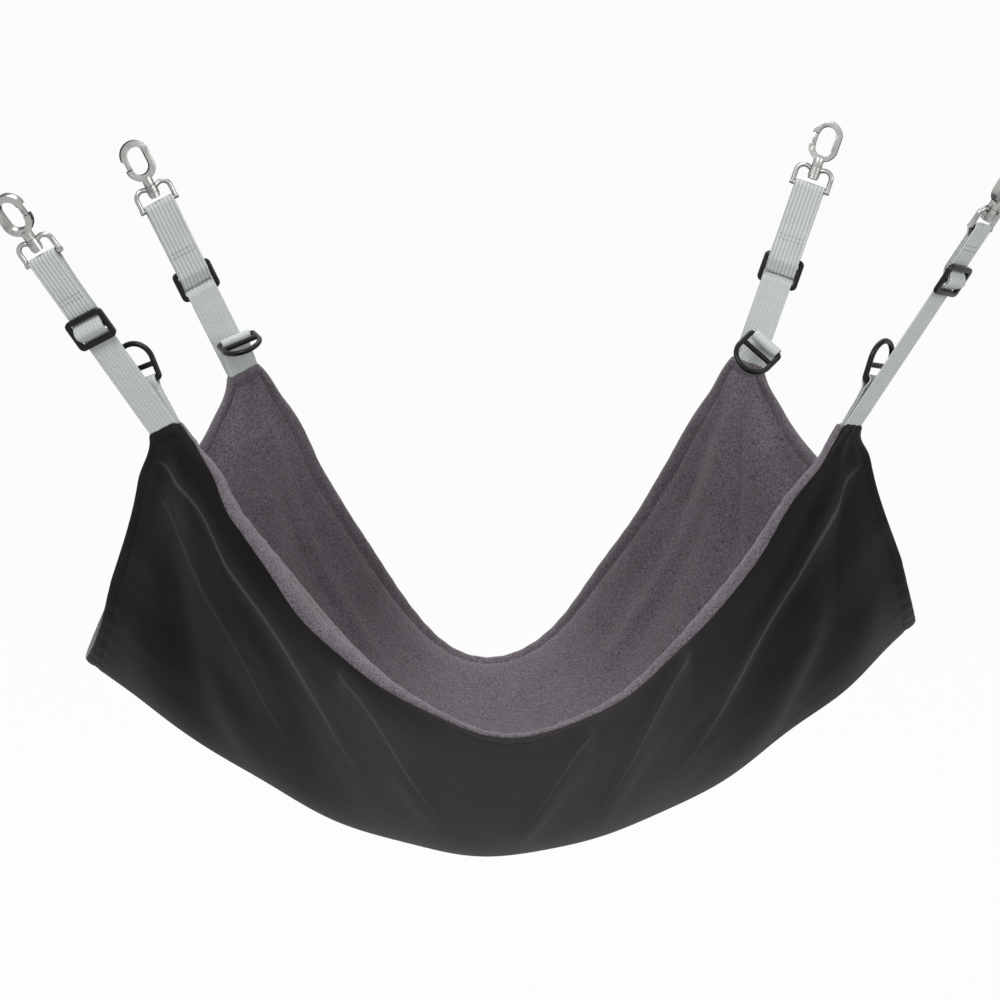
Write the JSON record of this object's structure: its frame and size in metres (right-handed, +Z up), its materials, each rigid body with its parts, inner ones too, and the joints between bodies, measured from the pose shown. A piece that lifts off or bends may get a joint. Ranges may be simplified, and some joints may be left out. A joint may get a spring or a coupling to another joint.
{
  "type": "hanging pet hammock",
  "caption": "Fleece-lined cloth sling hung by its corners from adjustable webbing straps with sliders, swivel snap hooks and D-rings, for a small pet to lie in.",
  "frame": {"origin": "under the middle of the sling, at the height of its lowest point", "axes": "+Z up, X along the sling's length, -Y toward the rim that faces the viewer"},
  "size_m": [0.6063, 0.4008, 0.4547],
  "materials": {
    "oxford": "smooth tight-woven polyester, faint sheen",
    "fleece": "short-pile fleece",
    "webbing": "ribbed flat webbing",
    "black_metal": "black lacquer, satin",
    "nickel": "nickel plate"
  },
  "bodies": {
    "sling": {"oxford_shell": "oxford", "fleece_lining": "fleece", "corner_tabs": "webbing"},
    "front_left_strap_body": {"front_left_strap": "webbing"},
    "front_left_slider_body": {"front_left_slider": "black_metal"},
    "front_left_loop_body": {"front_left_strap_loop": "webbing"},
    "front_left_eye_body": {"front_left_eye": "nickel"},
    "front_left_hook_body": {"front_left_hook": "nickel", "front_left_gate_pin": "nickel", "front_left_gate_spring": "nickel"},
    "front_left_gate_body": {"front_left_gate": "nickel"},
    "front_left_d_loop_body": {"front_left_d_loop": "webbing"},
    "front_left_d_ring_body": {"front_left_d_ring": "black_metal"},
    "front_right_strap_body": {"front_right_strap": "webbing"},
    "front_right_slider_body": {"front_right_slider": "black_metal"},
    "front_right_loop_body": {"front_right_strap_loop": "webbing"},
    "front_right_eye_body": {"front_right_eye": "nickel"},
    "front_right_hook_body": {"front_right_hook": "nickel", "front_right_gate_pin": "nickel", "front_right_gate_spring": "nickel"},
    "front_right_gate_body": {"front_right_gate": "nickel"},
    "front_right_d_loop_body": {"front_right_d_loop": "webbing"},
    "front_right_d_ring_body": {"front_right_d_ring": "black_metal"},
    "rear_left_strap_body": {"rear_left_strap": "webbing"},
    "rear_left_slider_body": {"rear_left_slider": "black_metal"},
    "rear_left_loop_body": {"rear_left_strap_loop": "webbing"},
    "rear_left_eye_body": {"rear_left_eye": "nickel"},
    "rear_left_hook_body": {"rear_left_hook": "nickel", "rear_left_gate_pin": "nickel", "rear_left_gate_spring": "nickel"},
    "rear_left_gate_body": {"rear_left_gate": "nickel"},
    "rear_left_d_loop_body": {"rear_left_d_loop": "webbing"},
    "rear_left_d_ring_body": {"rear_left_d_ring": "black_metal"},
    "rear_right_strap_body": {"rear_right_strap": "webbing"},
    "rear_right_slider_body": {"rear_right_slider": "black_metal"},
    "rear_right_loop_body": {"rear_right_strap_loop": "webbing"},
    "rear_right_eye_body": {"rear_right_eye": "nickel"},
    "rear_right_hook_body": {"rear_right_hook": "nickel", "rear_right_gate_pin": "nickel", "rear_right_gate_spring": "nickel"},
    "rear_right_gate_body": {"rear_right_gate": "nickel"},
    "rear_right_d_loop_body": {"rear_right_d_loop": "webbing"},
    "rear_right_d_ring_body": {"rear_right_d_ring": "black_metal"}
  },
  "joints": [
    {"name": "front_left_strap_swing", "type": "hinge", "parent": "sling", "child": "front_left_strap_body", "pos_m": [-0.20723, -0.12507, 0.29449], "axis": [0.8099, -0.3397, 0.4782], "range_deg": [0, 110]},
    {"name": "front_left_slider_slide", "type": "slide", "parent": "front_left_strap_body", "child": "front_left_slider_body", "axis": [-0.5409, -0.1171, 0.8329], "range_m": [-0.037, 0.0365], "deforming": ["front_left_strap", "front_left_strap_loop"]},
    {"name": "front_left_loop_slide", "type": "slide", "parent": "front_left_slider_body", "child": "front_left_loop_body", "axis": [-0.5409, -0.1171, 0.8329], "range_m": [-0.01825, 0.0185]},
    {"name": "front_left_eye_pivot", "type": "hinge", "parent": "front_left_loop_body", "child": "front_left_eye_body", "pos_m": [-0.2735, -0.13733, 0.39801], "axis": [0.8099, -0.3397, 0.4782], "range_deg": [-90, 90]},
    {"name": "front_left_hook_swivel", "type": "hinge", "parent": "front_left_eye_body", "child": "front_left_hook_body", "pos_m": [-0.27908, -0.13854, 0.40661], "axis": [-0.5409, -0.1171, 0.8329], "continuous": true},
    {"name": "front_left_gate_swing", "type": "hinge", "parent": "front_left_hook_body", "child": "front_left_gate_body", "pos_m": [-0.28174, -0.14272, 0.42278], "axis": [-0.2269, -0.9332, -0.2785], "range_deg": [0, 30], "stiffness_Nm_per_rad": 0.01, "springref_deg": -20.05, "deforming": ["front_left_gate_spring"]},
    {"name": "front_left_d_loop_swing", "type": "hinge", "parent": "sling", "child": "front_left_d_loop_body", "pos_m": [-0.20914, -0.12451, 0.30188], "axis": [-0.862, 0.3256, -0.3885], "range_deg": [-2, 80]},
    {"name": "front_left_d_ring_pivot", "type": "hinge", "parent": "front_left_d_loop_body", "child": "front_left_d_ring_body", "pos_m": [-0.21756, -0.12525, 0.31995], "axis": [-0.862, 0.3256, -0.3885], "range_deg": [-5, 60]},
    {"name": "front_right_strap_swing", "type": "hinge", "parent": "sling", "child": "front_right_strap_body", "pos_m": [0.20717, -0.1354, 0.2956], "axis": [0.5763, 0.7824, -0.2363], "range_deg": [0, 110]},
    {"name": "front_right_slider_slide", "type": "slide", "parent": "front_right_strap_body", "child": "front_right_slider_body", "axis": [0.5113, -0.1196, 0.851], "range_m": [-0.068, 0.0055], "deforming": ["front_right_strap", "front_right_strap_loop"]},
    {"name": "front_right_loop_slide", "type": "slide", "parent": "front_right_slider_body", "child": "front_right_loop_body", "axis": [0.5113, -0.1196, 0.851], "range_m": [-0.00275, 0.034]},
    {"name": "front_right_eye_pivot", "type": "hinge", "parent": "front_right_loop_body", "child": "front_right_eye_body", "pos_m": [0.27675, -0.15059, 0.41499], "axis": [0.5763, 0.7824, -0.2363], "range_deg": [-90, 90]},
    {"name": "front_right_hook_swivel", "type": "hinge", "parent": "front_right_eye_body", "child": "front_right_hook_body", "pos_m": [0.28203, -0.15182, 0.42378], "axis": [0.5113, -0.1196, 0.851], "continuous": true},
    {"name": "front_right_gate_swing", "type": "hinge", "parent": "front_right_hook_body", "child": "front_right_gate_body", "pos_m": [0.29394, -0.14819, 0.43523], "axis": [0.6375, -0.6112, -0.469], "range_deg": [0, 30], "stiffness_Nm_per_rad": 0.01, "springref_deg": -20.05, "deforming": ["front_right_gate_spring"]},
    {"name": "front_right_d_loop_swing", "type": "hinge", "parent": "sling", "child": "front_right_d_loop_body", "pos_m": [0.20949, -0.13495, 0.30275], "axis": [-0.5763, -0.7824, 0.2363], "range_deg": [-2, 80]},
    {"name": "front_right_d_ring_pivot", "type": "hinge", "parent": "front_right_d_loop_body", "child": "front_right_d_ring_body", "pos_m": [0.21807, -0.13583, 0.32074], "axis": [-0.5763, -0.7824, 0.2363], "range_deg": [-5, 60]},
    {"name": "rear_left_strap_swing", "type": "hinge", "parent": "sling", "child": "rear_left_strap_body", "pos_m": [-0.16522, 0.08476, 0.28765], "axis": [-0.8685, -0.2583, -0.4231], "range_deg": [0, 110]},
    {"name": "rear_left_slider_slide", "type": "slide", "parent": "rear_left_strap_body", "child": "rear_left_slider_body", "axis": [-0.4218, -0.0632, 0.9045], "range_m": [-0.027, 0.04], "deforming": ["rear_left_strap", "rear_left_strap_loop"]},
    {"name": "rear_left_loop_slide", "type": "slide", "parent": "rear_left_slider_body", "child": "rear_left_loop_body", "axis": [-0.4218, -0.0632, 0.9045], "range_m": [-0.02, 0.0135]},
    {"name": "rear_left_eye_pivot", "type": "hinge", "parent": "rear_left_loop_body", "child": "rear_left_eye_body", "pos_m": [-0.21459, 0.075, 0.39496], "axis": [-0.8685, -0.2583, -0.4231], "range_deg": [-90, 90]},
    {"name": "rear_left_hook_swivel", "type": "hinge", "parent": "rear_left_eye_body", "child": "rear_left_hook_body", "pos_m": [-0.21894, 0.07435, 0.40429], "axis": [-0.4218, -0.0632, 0.9045], "continuous": true},
    {"name": "rear_left_gate_swing", "type": "hinge", "parent": "rear_left_hook_body", "child": "rear_left_gate_body", "pos_m": [-0.23152, 0.07157, 0.41526], "axis": [-0.2604, 0.964, -0.054], "range_deg": [0, 30], "stiffness_Nm_per_rad": 0.01, "springref_deg": -20.05, "deforming": ["rear_left_gate_spring"]},
    {"name": "rear_left_d_loop_swing", "type": "hinge", "parent": "sling", "child": "rear_left_d_loop_body", "pos_m": [-0.1661, 0.0827, 0.29497], "axis": [0.9078, 0.2635, 0.3262], "range_deg": [-30, 12]},
    {"name": "rear_left_d_ring_pivot", "type": "hinge", "parent": "rear_left_d_loop_body", "child": "rear_left_d_ring_body", "pos_m": [-0.16724, 0.07028, 0.30818], "axis": [0.9078, 0.2635, 0.3262], "range_deg": [-40, 40]},
    {"name": "rear_right_strap_swing", "type": "hinge", "parent": "sling", "child": "rear_right_strap_body", "pos_m": [0.16505, 0.09627, 0.28877], "axis": [-0.9221, 0.2553, 0.2906], "range_deg": [0, 110]},
    {"name": "rear_right_slider_slide", "type": "slide", "parent": "rear_right_strap_body", "child": "rear_right_slider_body", "axis": [0.3374, 0.1635, 0.9271], "range_m": [-0.024, 0.04], "deforming": ["rear_right_strap", "rear_right_strap_loop"]},
    {"name": "rear_right_loop_slide", "type": "slide", "parent": "rear_right_slider_body", "child": "rear_right_loop_body", "axis": [0.3374, 0.1635, 0.9271], "range_m": [-0.02, 0.012]},
    {"name": "rear_right_eye_pivot", "type": "hinge", "parent": "rear_right_loop_body", "child": "rear_right_eye_body", "pos_m": [0.20408, 0.11315, 0.39779], "axis": [-0.9221, 0.2553, 0.2906], "range_deg": [-90, 90]},
    {"name": "rear_right_hook_swivel", "type": "hinge", "parent": "rear_right_eye_body", "child": "rear_right_hook_body", "pos_m": [0.20757, 0.11484, 0.40736], "axis": [0.3374, 0.1635, 0.9271], "continuous": true},
    {"name": "rear_right_gate_swing", "type": "hinge", "parent": "rear_right_hook_body", "child": "rear_right_gate_body", "pos_m": [0.20631, 0.11914, 0.42367], "axis": [0.1892, 0.9529, -0.2369], "range_deg": [0, 30], "stiffness_Nm_per_rad": 0.01, "springref_deg": -20.05, "deforming": ["rear_right_gate_spring"]},
    {"name": "rear_right_d_loop_swing", "type": "hinge", "parent": "sling", "child": "rear_right_d_loop_body", "pos_m": [0.1726, 0.09354, 0.29293], "axis": [0.7286, -0.298, -0.6167], "range_deg": [-50, 10]},
    {"name": "rear_right_d_ring_pivot", "type": "hinge", "parent": "rear_right_d_loop_body", "child": "rear_right_d_ring_body", "pos_m": [0.17381, 0.08007, 0.30087], "axis": [0.7286, -0.298, -0.6167], "range_deg": [-60, 5]}
  ],
  "couplings": [
    {"joint": "front_left_loop_slide", "follows": "front_left_slider_slide", "ratio": -0.5},
    {"joint": "front_right_loop_slide", "follows": "front_right_slider_slide", "ratio": -0.5},
    {"joint": "rear_left_loop_slide", "follows": "rear_left_slider_slide", "ratio": -0.5},
    {"joint": "rear_right_loop_slide", "follows": "rear_right_slider_slide", "ratio": -0.5}
  ]
}
